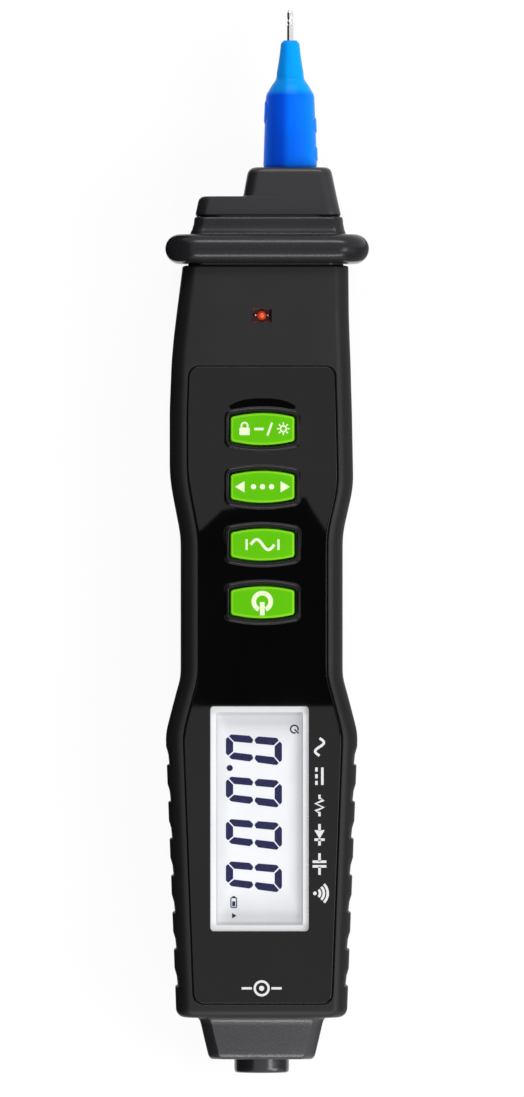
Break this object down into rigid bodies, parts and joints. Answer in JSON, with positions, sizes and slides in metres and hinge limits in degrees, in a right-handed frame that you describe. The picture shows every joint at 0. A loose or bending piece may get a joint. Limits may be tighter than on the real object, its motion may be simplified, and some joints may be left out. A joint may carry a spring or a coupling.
{
  "type": "pen multimeter",
  "caption": "Pen-shaped multimeter with a sleeved probe tip, hand guard, green keys, a numeric display and a shrouded COM jack at the tail.",
  "frame": {"origin": "middle of the outline, on the surface that the back rests on", "axes": "+Y along the pen towards the probe tip, +Z out of the front face, +X to the right of the display"},
  "size_m": [0.0398, 0.208, 0.029],
  "materials": {
    "shell_black": "fine moulded texture, satin black",
    "guard_black": "smooth satin black",
    "panel_gloss": "polished black",
    "lens_clear": "clear hard window",
    "frame_white": "white moulded frame",
    "lcd_grey": "pale blue-grey display",
    "diffuser_white": "milky light guide",
    "elastomer_pink": "banded elastomer",
    "board_green": "green circuit board",
    "silicone_grey": "soft silicone",
    "key_green": "bright green key",
    "lamp_red": "red tinted lamp",
    "holder_black": "flat black",
    "component_black": "moulded component",
    "thermistor_blue": "dipped blue disc",
    "nickel": "bright nickel plate",
    "sleeve_blue": "bright blue moulding",
    "brass": "turned brass",
    "cell_jacket": "printed cell jacket",
    "screw_steel": "zinc plated steel",
    "tail_black": "fine moulded texture, satin black"
  },
  "bodies": {
    "housing": {"front_shell": "shell_black", "back_shell": "shell_black", "hand_guard": "guard_black", "nose_cap": "guard_black", "tail_cap": "tail_black", "face_panel": "panel_gloss", "display_lens": "lens_clear", "display_frame": "frame_white", "lcd_glass": "lcd_grey", "backlight": "diffuser_white", "contact_strips": "elastomer_pink", "circuit_board": "board_green", "key_mat": "silicone_grey", "indicator_led": "lamp_red", "led_holder": "holder_black", "buzzer": "component_black", "main_chip": "component_black", "input_thermistor": "thermistor_blue", "probe_rod": "nickel", "probe_bush": "holder_black", "probe_contact": "brass", "com_shroud": "tail_black", "com_tube": "brass", "com_lead": "brass", "battery_left": "cell_jacket", "battery_right": "cell_jacket", "battery_springs": "nickel", "battery_plates": "nickel", "housing_screws": "screw_steel"},
    "hold_key": {"key_hold": "key_green"},
    "select_key": {"key_select": "key_green"},
    "hertz_key": {"key_hertz": "key_green"},
    "power_key": {"key_power": "key_green"},
    "sleeve": {"probe_sleeve": "sleeve_blue"},
    "cover": {"battery_cover": "shell_black"},
    "cover_screw": {"battery_screw": "screw_steel"}
  },
  "joints": [
    {"name": "hold_press", "type": "slide", "parent": "housing", "child": "hold_key", "axis": [0, 0, -1], "range_m": [0, 0.0008], "stiffness_N_per_m": 600, "springref_m": -0.0008},
    {"name": "select_press", "type": "slide", "parent": "housing", "child": "select_key", "axis": [0, 0, -1], "range_m": [0, 0.0008], "stiffness_N_per_m": 600, "springref_m": -0.0008},
    {"name": "hertz_press", "type": "slide", "parent": "housing", "child": "hertz_key", "axis": [0, 0, -1], "range_m": [0, 0.0008], "stiffness_N_per_m": 600, "springref_m": -0.0008},
    {"name": "power_press", "type": "slide", "parent": "housing", "child": "power_key", "axis": [0, 0, -1], "range_m": [0, 0.0008], "stiffness_N_per_m": 600, "springref_m": -0.0008},
    {"name": "sleeve_pull", "type": "slide", "parent": "housing", "child": "sleeve", "axis": [0, 1, 0], "range_m": [0, 0.034]},
    {"name": "cover_tilt", "type": "hinge", "parent": "housing", "child": "cover", "pos_m": [-0.00107, -0.078, 0], "axis": [-1, 0, 0], "range_deg": [0, 60]},
    {"name": "cover_screw_turn", "type": "hinge", "parent": "cover", "child": "cover_screw", "pos_m": [-0.00107, -0.024, 0.003], "axis": [0, 0, 1], "continuous": true}
  ]
}
